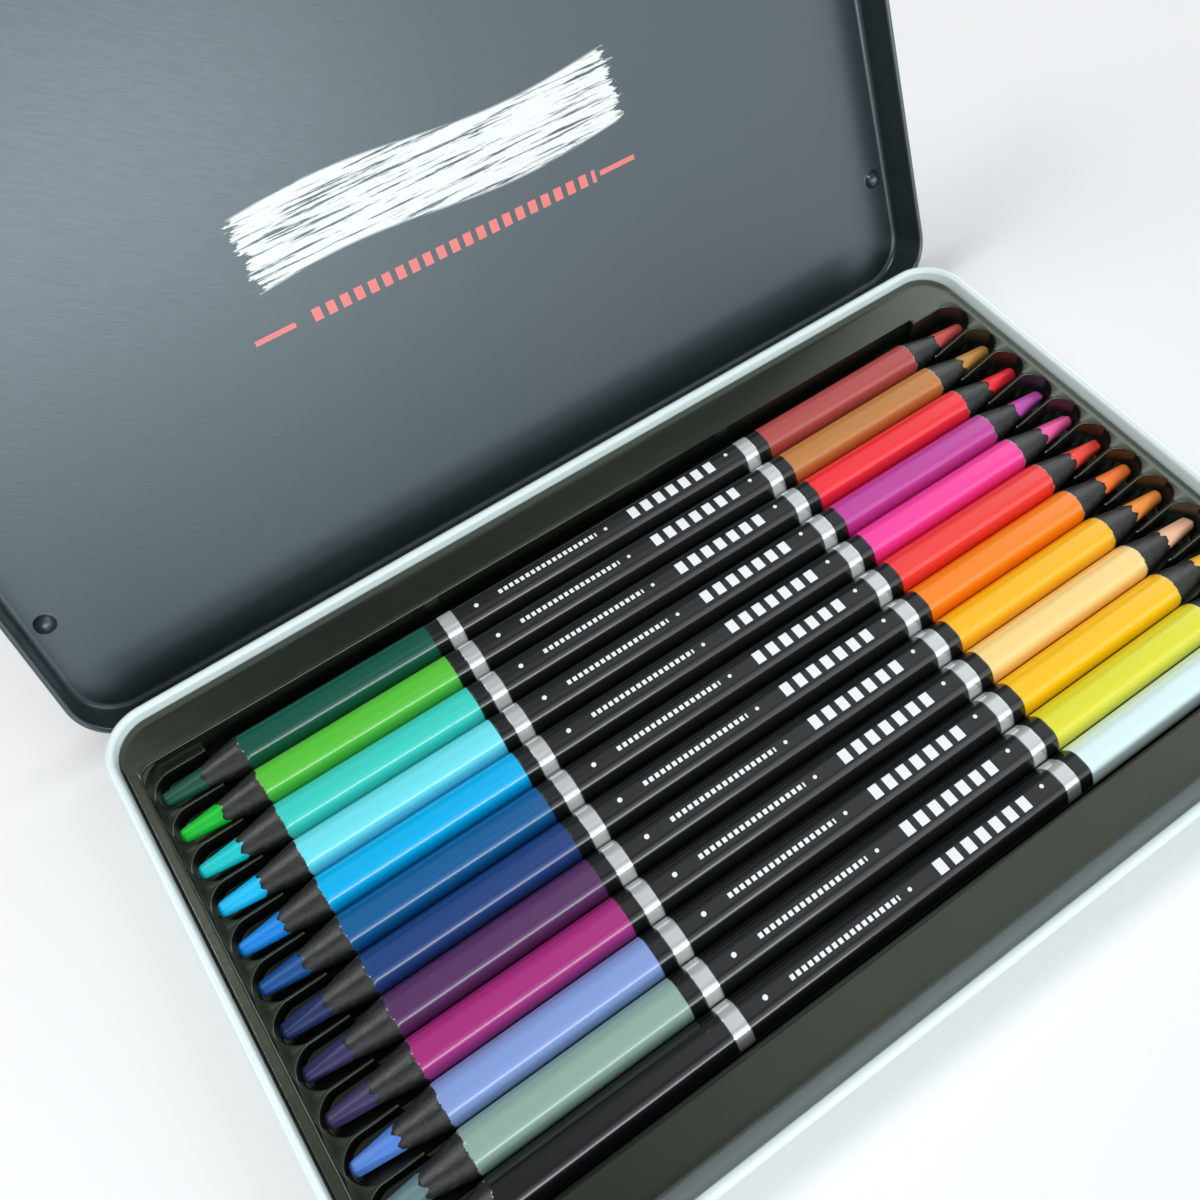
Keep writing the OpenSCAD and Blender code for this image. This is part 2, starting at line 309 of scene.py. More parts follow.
lidFinish = {
    "black": "#20282b", "print": "#f0f4f4", "accent": "#ee6f67", "gloss": "#dcf3ff",
    "roughness": 0.36, "brushedSpread": 0.12, "printRoughness": 0.5, "coat": 0.5, "coatRoughness": 0.3,
    "grainScale": 700.0, "grainAmount": 0.35, "grainDegrees": 32, "grainDepth": 0.00005,
    "printDepth": 0.00002,
    # the plain brush band, in mm from the lid's middle and from the hinge line, and how its edges run
    "bandX": (-33.0, 38.5), "bandV": (54.8, 67.2), "bandEdge": 0.3, "bandWave": 1.2, "bandWavePace": 0.09,
    "bandEndSpread": 10.0, "bristleGap": (0.40, 0.47),
    # the plain rule under it: a row of short strokes between two lines
    "ruleX": (-37.8, 39.0), "ruleV": 48.0, "ruleEdge": 0.05, "lineLength": 7.5, "lineHalf": 0.45,
    "strokeHalf": 1.1, "strokes": (-27.0, 30.5, 2.7, 0.58, 0.62),
}


def brushBand(tree, flat, x, v):
    # a rectangle with a slow sine along its sides, noise at its ends and gaps left by the bristles
    gaps = noise(tree, stretched(tree, flat, (0.06, 1.6, 1.0)), 1.0, 5.0, 0.7)
    ends = noise(tree, stretched(tree, flat, (0.2, 1.1, 1.0)), 1.0, 4.0, 0.7)
    shift = times(tree, maths(tree, "SUBTRACT", ends, 0.5), lidFinish["bandEndSpread"])
    inX = within(tree, maths(tree, "ADD", x, shift), *lidFinish["bandX"], lidFinish["bandEdge"])
    turn = times(tree, x, lidFinish["bandWavePace"])
    wave = times(tree, maths(tree, "SINE", turn), lidFinish["bandWave"])
    inV = within(tree, maths(tree, "ADD", v, wave), *lidFinish["bandV"], lidFinish["bandEdge"])
    covered = between(tree, gaps, *lidFinish["bristleGap"])
    return times(tree, inX, inV, covered)


def strokeRule(tree, x, v):
    # strokes at an even pitch, and a thin line beyond each end of their row
    edge = lidFinish["ruleEdge"]
    fromRule = maths(tree, "ABSOLUTE", maths(tree, "SUBTRACT", v, lidFinish["ruleV"]))
    row = times(tree, strokes(tree, x, *lidFinish["strokes"], edge),
                within(tree, fromRule, -1.0, lidFinish["strokeHalf"], edge))
    start, end = lidFinish["ruleX"]
    lines = maths(tree, "MAXIMUM", within(tree, x, start, start + lidFinish["lineLength"], edge),
                  within(tree, x, end - lidFinish["lineLength"], end, edge))
    lines = times(tree, lines, within(tree, fromRule, -1.0, lidFinish["lineHalf"], edge))
    return maths(tree, "MAXIMUM", row, lines)


def lidLacquer():
    # the attribute flatPlace holds each point as it lies when the lid is shut: X, distance from the hinge, Z
    material, tree, shader = newMaterial("blackLidLacquer")
    flat = attributeOf(tree, "flatPlace", "Vector")
    parts = addNode(tree, "ShaderNodeSeparateXYZ", {"Vector": flat})
    x = parts.outputs["X"]
    v = parts.outputs["Y"]
    inner = between(tree, attributeOf(tree, "innerSide", "Fac"), 0.4, 0.6)
    band = times(tree, brushBand(tree, flat, x, v), inner)
    rule = times(tree, strokeRule(tree, x, v), inner)
    printed = maths(tree, "MAXIMUM", band, rule)

    turned = addNode(tree, "ShaderNodeVectorRotate",
                     {"Vector": flat, "Angle": math.radians(lidFinish["grainDegrees"])},
                     rotation_type="Z_AXIS")
    brushed = noise(tree, stretched(tree, turned.outputs["Vector"], (0.3, 1.8, 1.0)), 1.0, 3.0, 0.6)
    grain = grainOf(tree, objectPlace(tree), lidFinish)
    black = toned(tree, rgb(lidFinish["black"]), grain["Tone"])
    color = mixColors(tree, band, black, rgb(lidFinish["print"]))
    rough = linear(tree, maths(tree, "SUBTRACT", brushed, 0.5), lidFinish["brushedSpread"],
                   lidFinish["roughness"])
    height = times(tree, maths(tree, "ADD", brushed, grain["Height"]), 0.5)
    normal = bump(tree, height, 0.5, lidFinish["grainDepth"])
    setInputs(tree, shader, {
        "Base Color": mixColors(tree, rule, color, rgb(lidFinish["accent"])),
        "Roughness": mixValues(tree, printed, rough, lidFinish["printRoughness"]),
        "Normal": bump(tree, printed, 0.3, lidFinish["printDepth"], normal),
        "Specular IOR Level": 1.0, "Specular Tint": rgb(lidFinish["gloss"]),
        "Coat Weight": lidFinish["coat"], "Coat Roughness": lidFinish["coatRoughness"]})
    return material


trayFinish = {"black": "#161a15", "gloss": "#e2f0d4", "roughness": 0.22, "coat": 0.5, "coatRoughness": 0.12,
              "grainScale": 420.0, "grainAmount": 0.5, "grainDepth": 0.00002, "streakDepth": 0.00003,
              "streakScale": (25.0, 900.0, 900.0)}


def trayPlastic():
    material, tree, shader = newMaterial("blackTrayPlastic")
    place = objectPlace(tree)
    grain = grainOf(tree, place, trayFinish)
    # fine rubbed streaks along X
    streaks = noise(tree, stretched(tree, place, trayFinish["streakScale"]), 1.0, 4.0, 0.6)
    rubbed = linear(tree, streaks, 0.4, 0.8)
    normal = bump(tree, streaks, 0.12, trayFinish["streakDepth"])
    setInputs(tree, shader, {
        "Base Color": toned(tree, rgb(trayFinish["black"]), grain["Tone"]),
        "Roughness": times(tree, grain["Tone"], rubbed, trayFinish["roughness"]),
        "Normal": bump(tree, grain["Height"], 0.05, trayFinish["grainDepth"], normal),
        "Specular IOR Level": 1.0, "Specular Tint": rgb(trayFinish["gloss"]),
        "Coat Weight": trayFinish["coat"], "Coat Roughness": trayFinish["coatRoughness"]})
    return material


pencilFinish = {
    "sleeveHalf": 36.9, "foilOuter": 34.4, "foilInner": 31.4, "seamHalf": 0.12, "edge": 0.04,
    "black": "#161a19", "foil": "#dfe3e2", "mark": "#eaeeee", "seam": "#151617", "wood": "#1e211f",
    "primer": "#a6abaa", "seamAmount": 0.75, "foilMetal": 0.6, "coat": 0.35, "coatRoughness": 0.06,
    "gloss": 0.13, "glossSpread": 0.1, "markRoughness": 0.4, "bareRoughness": 0.45,
    # how ragged the paint's edge is, how wide the primer shows beyond it and where it is missing
    "ragged": 0.17, "primerFade": (0.055, 0.02), "primerGaps": (0.47, 0.60),
    # plain marks on the top facet, in mm from the pencil's middle. Rows: start, end, pitch, printed share,
    # share where the mark is gone, half height. Dots: X, Y, radius.
    "rows": ((6.0, 26.0, 2.9, 0.57, 0.60, 1.15), (-22.5, -1.5, 1.15, 0.60, 0.66, 0.42)),
    "dots": ((-27.2, 0.0, 0.42), (0.6, 0.0, 0.34), (28.6, 0.55, 0.36)), "topFacet": (3.2, 3.3),
}
# pencil by pencil from the hinge to the front: cool paint and lead, warm paint and lead
pencilColors = (
    ("#0c5243", "#0f4a3c", "#b04a48", "#c0504a"),  # bottle green, brick red
    ("#55bd3a", "#05b52f", "#bb7a3c", "#c08a44"),  # leaf green, ochre
    ("#3bcabd", "#05c0c4", "#ef2733", "#ee2a36"),  # turquoise, scarlet
    ("#6bdce8", "#02b8ee", "#bd3c98", "#c04fae"),  # pale cyan, violet pink
    ("#00ade6", "#0380d8", "#f63c9c", "#f060a4"),  # sky blue, rose
    ("#0d5a92", "#064a8c", "#ee3a34", "#f04a38"),  # deep blue, vermilion
    ("#1f3f7a", "#1d2c5c", "#f98309", "#f87a30"),  # navy, orange
    ("#54305e", "#302c58", "#fbb802", "#f2923e"),  # plum, amber
    ("#a32a78", "#3a2f58", "#fbd587", "#f7bf9c"),  # purple, peach
    ("#8199d2", "#4f7ed0", "#fcc203", "#f5b93c"),  # periwinkle, yellow
    ("#8ba89d", "#5f7a80", "#e0dc2e", "#c9cc50"),  # grey green, lime yellow
    ("#17191a", "#2a2c2e", "#dcf2f2", "#e8eeee"),  # black, white
)


def pencilMarks():
    # masks of the sleeve, the foil, the thin seams beside them and the printed marks, from a place in mm:
    # X along the pencil, Y across the top facet, Z up from the pencil's axis
    group, ends, out = newGroup("pencilMarks", {"Place": "Vector"},
                                dict.fromkeys(("Sleeve", "Foil", "Seam", "Marks", "Warm"), "Float"))
    parts = addNode(group, "ShaderNodeSeparateXYZ", {"Vector": ends.outputs["Place"]})
    x = parts.outputs["X"]
    y = parts.outputs["Y"]
    fromMiddle = maths(group, "ABSOLUTE", x)
    edge = pencilFinish["edge"]
    half = pencilFinish["seamHalf"]
    sleeveHalf = pencilFinish["sleeveHalf"]
    sleeve = between(group, fromMiddle, sleeveHalf + edge, sleeveHalf - edge)
    foil = within(group, fromMiddle, pencilFinish["foilInner"], pencilFinish["foilOuter"], edge)
    seams = 0.0
    for at in (sleeveHalf, pencilFinish["foilOuter"], pencilFinish["foilInner"]):
        seams = maths(group, "MAXIMUM", seams, within(group, fromMiddle, at - half, at + half, edge))
    marks = 0.0
    for *run, high in pencilFinish["rows"]:
        row = times(group, strokes(group, x, *run, edge), within(group, y, -high, high, edge))
        marks = maths(group, "MAXIMUM", marks, row)
    for dotX, dotY, dotR in pencilFinish["dots"]:
        acrossX = maths(group, "POWER", maths(group, "SUBTRACT", x, dotX), 2.0)
        acrossY = maths(group, "POWER", maths(group, "SUBTRACT", y, dotY), 2.0)
        away = maths(group, "SQRT", maths(group, "ADD", acrossX, acrossY))
        marks = maths(group, "MAXIMUM", marks, between(group, away, dotR + edge, dotR - edge))
    marks = times(group, marks, between(group, parts.outputs["Z"], *pencilFinish["topFacet"]))
    setInputs(group, out, {"Sleeve": sleeve, "Foil": foil, "Seam": seams, "Marks": marks,
                           "Warm": between(group, x, -1.0, 1.0)})
    return group


pencilMarksGroup = pencilMarks()


def dyedWood():
    # black-dyed wood: a tone with streaks along the pencil and bright specks, and the streaks' height
    group, ends, out = newGroup("dyedWood", {"Place": "Vector"}, {"Tone": "Float", "Height": "Float"})
    place = ends.outputs["Place"]
    fibre = noise(group, stretched(group, place, (0.3, 1.8, 1.8)), 1.0, 5.0, 0.7)
    specks = noise(group, stretched(group, place, (1.6, 3.6, 3.6)), 1.0, 2.0, 0.6)
    tone = maths(group, "MAXIMUM", linear(group, fibre, 4.6, -1.35), 0.2)
    tone = linear(group, between(group, specks, 0.60, 0.70), 3.2, tone)
    setInputs(group, out, {"Tone": tone, "Height": fibre})
    return group


dyedWoodGroup = dyedWood()
# mm on each side of the line between wood and lead over which one colour turns into the other
leadEdge = (-0.04, 0.04)


def pencilLacquer(k):
    # bareWood is 0 where the paint stops, leadSide is the way past the wood's end in mm
    material, tree, shader = newMaterial("pencilLacquer%02d" % (k + 1))
    place = attributeOf(tree, "pencilPlace", "Vector")
    masks = placeGroup(tree, pencilMarksGroup, {"Place": place})
    wood = placeGroup(tree, dyedWoodGroup, {"Place": place})
    breakUp = maths(tree, "SUBTRACT", noise(tree, place, 1.7, 3.0, 0.65), 0.5)
    edge = linear(tree, breakUp, pencilFinish["ragged"], attributeOf(tree, "bareWood", "Fac"))
    isWood = between(tree, edge, -0.008, 0.008)
    isLead = between(tree, attributeOf(tree, "leadSide", "Fac"), *leadEdge)
    primer = times(tree, between(tree, edge, *pencilFinish["primerFade"]), between(tree, edge, -0.012, 0.004),
                   between(tree, noise(tree, place, 0.85, 3.0), *pencilFinish["primerGaps"]))

    coolPaint, coolLead, warmPaint, warmLead = (rgb(code) for code in pencilColors[k])
    color = mixColors(tree, masks["Warm"], coolPaint, warmPaint)
    color = mixColors(tree, masks["Sleeve"], color, rgb(pencilFinish["black"]))
    color = mixColors(tree, masks["Foil"], color, rgb(pencilFinish["foil"]))
    color = mixColors(tree, masks["Marks"], color, rgb(pencilFinish["mark"]))
    seam = times(tree, masks["Seam"], pencilFinish["seamAmount"])
    color = mixColors(tree, seam, color, rgb(pencilFinish["seam"]))
    color = mixColors(tree, isWood, color, toned(tree, rgb(pencilFinish["wood"]), wood["Tone"]))
    color = mixColors(tree, primer, color, rgb(pencilFinish["primer"]))
    color = mixColors(tree, isLead, color, mixColors(tree, masks["Warm"], coolLead, warmLead))

    bare = maths(tree, "MAXIMUM", isWood, isLead)
    painted = maths(tree, "SUBTRACT", 1.0, bare)
    wear = noise(tree, stretched(tree, place, (0.3, 1.5, 1.5)), 1.0, 4.0, 0.6)
    gloss = linear(tree, wear, pencilFinish["glossSpread"], pencilFinish["gloss"])
    gloss = mixValues(tree, masks["Marks"], gloss, pencilFinish["markRoughness"])
    ripple = noise(tree, stretched(tree, place, (0.12, 0.9, 0.9)), 1.0, 2.0)
    normal = bump(tree, times(tree, wood["Height"], isWood), 0.5, 0.00012)
    normal = bump(tree, maths(tree, "SUBTRACT", masks["Foil"], masks["Seam"]), 0.5, 0.00003, normal)
    setInputs(tree, shader, {
        "Base Color": color,
        "Metallic": times(tree, masks["Foil"], pencilFinish["foilMetal"], painted),
        "Roughness": mixValues(tree, bare, gloss, pencilFinish["bareRoughness"]),
        "Normal": bump(tree, times(tree, ripple, painted), 0.15, 0.0001, normal),
        "Coat Weight": times(tree, painted, pencilFinish["coat"]),
        "Coat Roughness": pencilFinish["coatRoughness"]})
    return material


leadFinish = {"roughness": 0.42, "woodRoughness": 0.62, "specular": 0.3, "tipShade": 0.38, "scrape": 0.28}


def waxyLead(k, warm):
    # fromTip is the way back from the point in mm: the point is a little darker
    material, tree, shader = newMaterial("%sLead%02d" % ("warm" if warm else "cool", k + 1))
    place = attributeOf(tree, "pencilPlace", "Vector")
    isLead = between(tree, attributeOf(tree, "leadSide", "Fac"), *leadEdge)
    wood = placeGroup(tree, dyedWoodGroup, {"Place": place})
    scrape = noise(tree, stretched(tree, place, (0.8, 4.0, 4.0)), 1.0, 4.0, 0.6)
    tone = linear(tree, scrape, leadFinish["scrape"], 1 - leadFinish["scrape"] / 2)
    tip = between(tree, attributeOf(tree, "fromTip", "Fac"), 0.1, 1.3)
    shade = linear(tree, tip, leadFinish["tipShade"], 1 - leadFinish["tipShade"])
    color = toned(tree, rgb(pencilColors[k][3 if warm else 1]), times(tree, tone, shade))
    woodColor = toned(tree, rgb(pencilFinish["wood"]), wood["Tone"])
    height = linear(tree, isLead, 0.4, scrape)
    setInputs(tree, shader, {
        "Base Color": mixColors(tree, isLead, woodColor, color),
        "Roughness": mixValues(tree, isLead, leadFinish["woodRoughness"], leadFinish["roughness"]),
        "Normal": bump(tree, height, 0.35, 0.0001),
        "Specular IOR Level": leadFinish["specular"]})
    return material


print("finishes ready")


pan = {"beadR": 0.82, "sheet": 0.25, "cornerR": 8.0, "bottomR": 1.5, "cornerSteps": 28,
       "tabWidth": 20.8, "tabSpacing": 95.2, "tabWrap": 240.0, "tabPlay": 0.08}
panLow, panHigh = boxOf("base_pan")
hinge = jointNamed("lid_hinge")
hingeY = hinge["pos_m"][1] / mm
hingeZ = hinge["pos_m"][2] / mm
openAngle = -math.radians(hinge["range_deg"][0])
rimHalfX = panHigh[0] - pan["beadR"]
rimHalfY = -panLow[1] - pan["beadR"]
rimZ = panHigh[2] - pan["beadR"]
lid = {"gap": 0.15, "panelGap": 0.1, "hemR": 0.55, "foldR": 1.0, "slotSideGap": 0.5, "slotHeight": 2.2,
       "dimpleR": 1.8, "dimpleDepth": 1.5, "dimpleFromHinge": 22.0, "dimpleFromWall": 1.8,
       "dimpleFillet": 0.45}
tabInR = lid["hemR"] + pan["tabPlay"]
tabMeanR = tabInR + pan["sheet"] / 2


def openWindows(quads, columns, pathSpans, sectionSpans):
    # leaves out the quads of a carried profile in each window, and joins its two walls round the hole.
    # sectionSpans holds the section numbers of each wall's low and high edge.
    keep = np.ones(len(quads), dtype=bool)
    row = quads.min(axis=1) // columns
    column = quads.min(axis=1) % columns
    extra = []
    (inLow, inHigh), (outLow, outHigh) = sectionSpans
    for first, last in pathSpans:
        for low, high in (sorted((inLow, inHigh)), sorted((outLow, outHigh))):
            keep &= ~((row >= first) & (row < last) & (column >= low) & (column < high))
        along = np.arange(first, last)
        for a, b in ((inLow, outLow), (inHigh, outHigh)):
            extra.append(np.stack([along * columns + a, (along + 1) * columns + a,
                                   (along + 1) * columns + b, along * columns + b], axis=-1))
        for at in (first, last):
            extra.append(at * columns + np.array([[inLow, inHigh, outHigh, outLow]]))
    return np.vstack([quads[keep]] + extra)


def tabStops(half):
    # the places along X at this distance on each side of the two tabs' middles
    return [side * pan["tabSpacing"] / 2 + end * half for side in (-1, 1) for end in (-1, 1)]


def panShape():
    # the section runs from the floor's top out and up the inner wall, round the bead and down the outer wall
    sheet = pan["sheet"]
    bendR = pan["bottomR"]
    wallOut = sheet - pan["beadR"]
    bendX = wallOut - bendR
    windowLow = hingeZ - tabInR - sheet
    # the window is as high as the tab pressed out of it is long
    tabLength = hingeY - (rimHalfY - pan["beadR"]) - sheet + math.radians(pan["tabWrap"]) * tabMeanR
    windowHigh = windowLow + tabLength
    beadEnd = math.degrees(math.acos(wallOut / pan["beadR"]))
    inner = arc(bendX, bendR, bendR - sheet, -90, 0, 8)
    innerWall = np.array([[-pan["beadR"], windowLow], [-pan["beadR"], windowHigh]])
    bead = arc(0, rimZ, pan["beadR"], 180, -beadEnd, 26)
    notch = np.array([[wallOut + 0.02, rimZ - pan["beadR"] * math.sin(math.radians(beadEnd)) + 0.06]])
    outerWall = np.array([[wallOut, windowHigh], [wallOut, windowLow]])
    outer = arc(bendX, bendR, bendR, 0, -90, 8)
    section = np.vstack([inner, innerWall, bead, notch, outerWall, outer])
    innerAt = len(inner)
    outerAt = len(inner) + len(innerWall) + len(bead) + len(notch)
    stops = tabStops(pan["tabWidth"] / 2)
    path, normals = roundedPath(rimHalfX, rimHalfY, pan["cornerR"], pan["cornerSteps"], stops)
    points = carried(section, path, normals).reshape(-1, 3)
    columns = len(section)
    quads = gridQuads(len(path), columns, closedRows=True)
    firstStop = pan["cornerSteps"] + 1
    quads = openWindows(quads, columns, [(firstStop, firstStop + 1), (firstStop + 2, firstStop + 3)],
                        [(innerAt, innerAt + 1), (outerAt + 1, outerAt)])
    starts = np.arange(len(path)) * columns
    quads = np.vstack([quads, capQuads(starts), capQuads(starts + columns - 1)[:, ::-1]])
    return points, quads


def tabShape(side):
    # a strip of plate, flat out of the wall and then curled round the hem: a line with half a sheet each way
    half = pan["sheet"] / 2
    start = rimHalfY - pan["beadR"] + half
    curl = np.radians(np.linspace(-90, pan["tabWrap"] - 90, 40))
    direction = np.stack([np.cos(curl), np.sin(curl)], axis=-1)
    middle = np.vstack([[[start, hingeZ - tabMeanR]], [hingeY, hingeZ] + tabMeanR * direction])
    outward = np.vstack([[[0.0, -1.0]], direction])
    loop = np.vstack([middle + half * outward, (middle - half * outward)[::-1]])
    ends = side * pan["tabSpacing"] / 2 + np.array([-0.5, 0.5]) * pan["tabWidth"]
    points = np.concatenate([np.repeat(ends, len(loop))[:, None], np.tile(loop, (2, 1))], axis=1)
    quads = gridQuads(2, len(loop), closedColumns=True)
    near = capQuads(np.arange(len(loop)))
    return points, np.vstack([quads, near, near[:, ::-1] + len(loop)])


points, quads = joined([panShape(), tabShape(-1), tabShape(1)])
panPiece = makePiece("pan", points, quads, "base", whiteLacquer(), ["base_pan"])
sharpenBy(panPiece, 50)
print("pan made")


skirtOut = pan["beadR"] + lid["gap"]
panelZ = rimZ + pan["beadR"] + lid["panelGap"]


def cornerLimit(x, halfX, halfY, cornerR):
    # how far a column at x reaches before it meets the round corner
    past = np.clip(np.abs(x) - (halfX - cornerR), 0, cornerR)
    return halfY - cornerR + np.sqrt(np.maximum(cornerR ** 2 - past ** 2, 0))


def roundedColumns(halfX, cornerR, inner, steps):
    # column places: the given ones, and places that split the round corners evenly
    angle = np.linspace(0, 90, steps + 1)
    corner = halfX - cornerR + cornerR * np.sin(np.radians(angle))
    return np.unique(np.round(np.concatenate([-corner, inner, corner]), 6))


def spreadRows(rows, limit, halfY, keepTo):
    # rows up to keepTo stay, and those beyond are drawn in to end at the limit of their column
    rows = np.asarray(rows)[None, :]
    share = np.clip((np.abs(rows) - keepTo) / (halfY - keepTo), 0, 1)
    drawnIn = np.sign(rows) * (keepTo + share * (limit[:, None] - keepTo))
    return np.where(np.abs(rows) <= keepTo, rows, drawnIn)


def borderOf(columns, rows):
    # numbers of a grid's outer points in order, anticlockwise from the lowest corner
    bottom = np.arange(columns) * rows
    right = (columns - 1) * rows + np.arange(rows)
    top = np.arange(columns)[::-1] * rows + rows - 1
    left = np.arange(rows)[::-1]
    return np.concatenate([bottom[:-1], right[:-1], top[:-1], left[:-1]])


def borderNormals(border, halfX, halfY, cornerR):
    # outward normals of points that lie on a rectangle with round corners
    inner = np.stack([np.clip(border[:, 0], cornerR - halfX, halfX - cornerR),
                      np.clip(border[:, 1], cornerR - halfY, halfY - cornerR)], axis=-1)
    away = border - inner
    return away / np.linalg.norm(away, axis=1, keepdims=True)


def dimpleDrop(x, y, centreX, centreY):
    # a round cap that blends into the panel: the cap of a ball, with a smooth foot round it
    away = np.hypot(x - centreX, y - centreY)
    reach = lid["dimpleR"]
    depth = lid["dimpleDepth"]
    ballR = (reach ** 2 + depth ** 2) / (2 * depth)
    cap = np.sqrt(np.maximum(ballR ** 2 - np.minimum(away, reach) ** 2, 0)) - (ballR - depth)
    foot = np.clip((away - reach + lid["dimpleFillet"]) / lid["dimpleFillet"], 0, 1)
    return np.maximum(cap, 0) * (1 - foot ** 2 * 0.5) * (away < reach)


def lidShape():
    # inner panel, fold, skirt and hem, then back up the outer side to the outer panel
    sheet = pan["sheet"]
    foldR = lid["foldR"]
    halfX = rimHalfX + skirtOut - foldR
    halfY = rimHalfY + skirtOut - foldR
    cornerR = pan["cornerR"] + skirtOut - foldR
    dimpleX = rimHalfX - pan["beadR"] - lid["dimpleFromWall"]
    dimpleY = hingeY - lid["dimpleFromHinge"]
    # fine columns and rows across each dimple
    fine = np.linspace(-2.0, 2.0, 33)
    slotEdges = np.array(tabStops(pan["tabWidth"] / 2 + lid["slotSideGap"]))
    inner = np.concatenate([dimpleX + fine, -dimpleX + fine, slotEdges, np.linspace(-80, 80, 17)])
    inner = inner[np.abs(inner) < halfX - 0.02]
    columns = roundedColumns(halfX, cornerR, inner, 22)
    rows = np.unique(np.round(np.concatenate([dimpleY + fine, np.linspace(-halfY, halfY, 25)]), 6))
    keepTo = halfY - cornerR - 3.0
    limit = cornerLimit(columns, halfX, halfY, cornerR)
    y = spreadRows(rows, limit, halfY, keepTo)
    x = np.broadcast_to(columns[:, None], y.shape)
    drop = dimpleDrop(np.abs(x), y, dimpleX, dimpleY)
    innerPanel = np.stack([x, y, panelZ - drop], axis=-1).reshape(-1, 3)
    outerPanel = np.stack([x, y, panelZ + sheet - drop * 0.9], axis=-1).reshape(-1, 3)
    border = borderOf(*y.shape)
    edge = innerPanel[border][:, :2]
    normals = borderNormals(edge, halfX, halfY, cornerR)

    foldZ = panelZ - foldR
    hemOut = foldR + lid["hemR"]
    hemTop = math.degrees(math.acos((sheet - lid["hemR"]) / lid["hemR"]))
    foldSteps = 9
    hemSteps = 26
    section = np.vstack([
        arc(0, foldZ, foldR, 90, 0, foldSteps)[1:],
        [[foldR, hingeZ + lid["slotHeight"]]],
        arc(hemOut, hingeZ, lid["hemR"], 180, 360 + hemTop, hemSteps),
        [[foldR + sheet, hingeZ + lid["slotHeight"]]],
        arc(0, foldZ, foldR + sheet, 0, 90, foldSteps)[:-1],
    ])
    skirt = carried(section, edge, normals).reshape(-1, 3)
    count = len(border)
    columnsOfSkirt = len(section)
    points = np.vstack([innerPanel, outerPanel, skirt])
    firstOuter = len(innerPanel)
    firstSkirt = 2 * len(innerPanel)
    quads = gridQuads(count, columnsOfSkirt, closedRows=True)
    # each slot runs between the border points that lie at its two edges on the hinge side
    onBack = np.flatnonzero(edge[:, 1] > halfY - 1e-6)
    atEdges = [onBack[np.abs(edge[onBack, 0] - stop).argmin()] for stop in slotEdges]
    spans = [sorted(atEdges[:2]), sorted(atEdges[2:])]
    hemFirst = foldSteps + 1
    hemLast = hemFirst + hemSteps
    quads = openWindows(quads, columnsOfSkirt, spans, [(hemFirst, hemFirst - 1), (hemLast, hemLast + 1)])
    starts = firstSkirt + np.arange(count) * columnsOfSkirt
    ends = starts + columnsOfSkirt - 1
    nextBorder = np.roll(border, -1)
    innerJoin = np.stack([border, nextBorder, np.roll(starts, -1), starts], axis=-1)
    outerJoin = np.stack([ends, np.roll(ends, -1), firstOuter + nextBorder, firstOuter + border], axis=-1)
    panel = gridQuads(*y.shape)
    allQuads = np.vstack([panel, panel[:, ::-1] + firstOuter, quads + firstSkirt, innerJoin, outerJoin])
    innerSide = (np.arange(len(points)) < firstOuter).astype(float)
    return points, allQuads, innerSide


def opened(points):
    # turns the shut lid about the hinge line to where it stands open
    y = points[:, 1] - hingeY
    z = points[:, 2] - hingeZ
    cosine = math.cos(openAngle)
    sine = math.sin(openAngle)
    return np.stack([points[:, 0], hingeY + y * cosine + z * sine, hingeZ - y * sine + z * cosine], axis=-1)


points, quads, innerSide = lidShape()
quads = facedOut(points, quads)
flatPlace = np.stack([points[:, 0], hingeY - points[:, 1], points[:, 2]], axis=-1)
lidPiece = makePiece("lid", opened(points), quads, "lid", lidLacquer(), ["lid_shell"],
                     {"flatPlace": flatPlace, "innerSide": innerSide})
sharpenBy(lidPiece, 50)
print("lid made")


# pocketHalf, noseR and noseBulge give a pocket's outline: straight sides, and two arcs that meet at its nose
tray = {"sheet": 0.4, "pitch": 7.55, "pocketHalf": 3.525, "noseR": 4.3, "noseBulge": 0.1, "ribLength": 10.6,
        "ribHeight": 3.9, "riseLength": 8.0, "recessHalfY": 46.05, "recessY": 1.0, "recessCornerR": 2.2,
        "recessStep": 0.2, "cornerR": 6.68, "edgeR": 0.22, "tipGap": 0.6, "filletR": 0.35, "skirtLift": 0.3}
trayLow, trayHigh = boxOf("pencil_tray")
pencilCount = len([n for n in frame["nodes"] if n.endswith("_casing")])


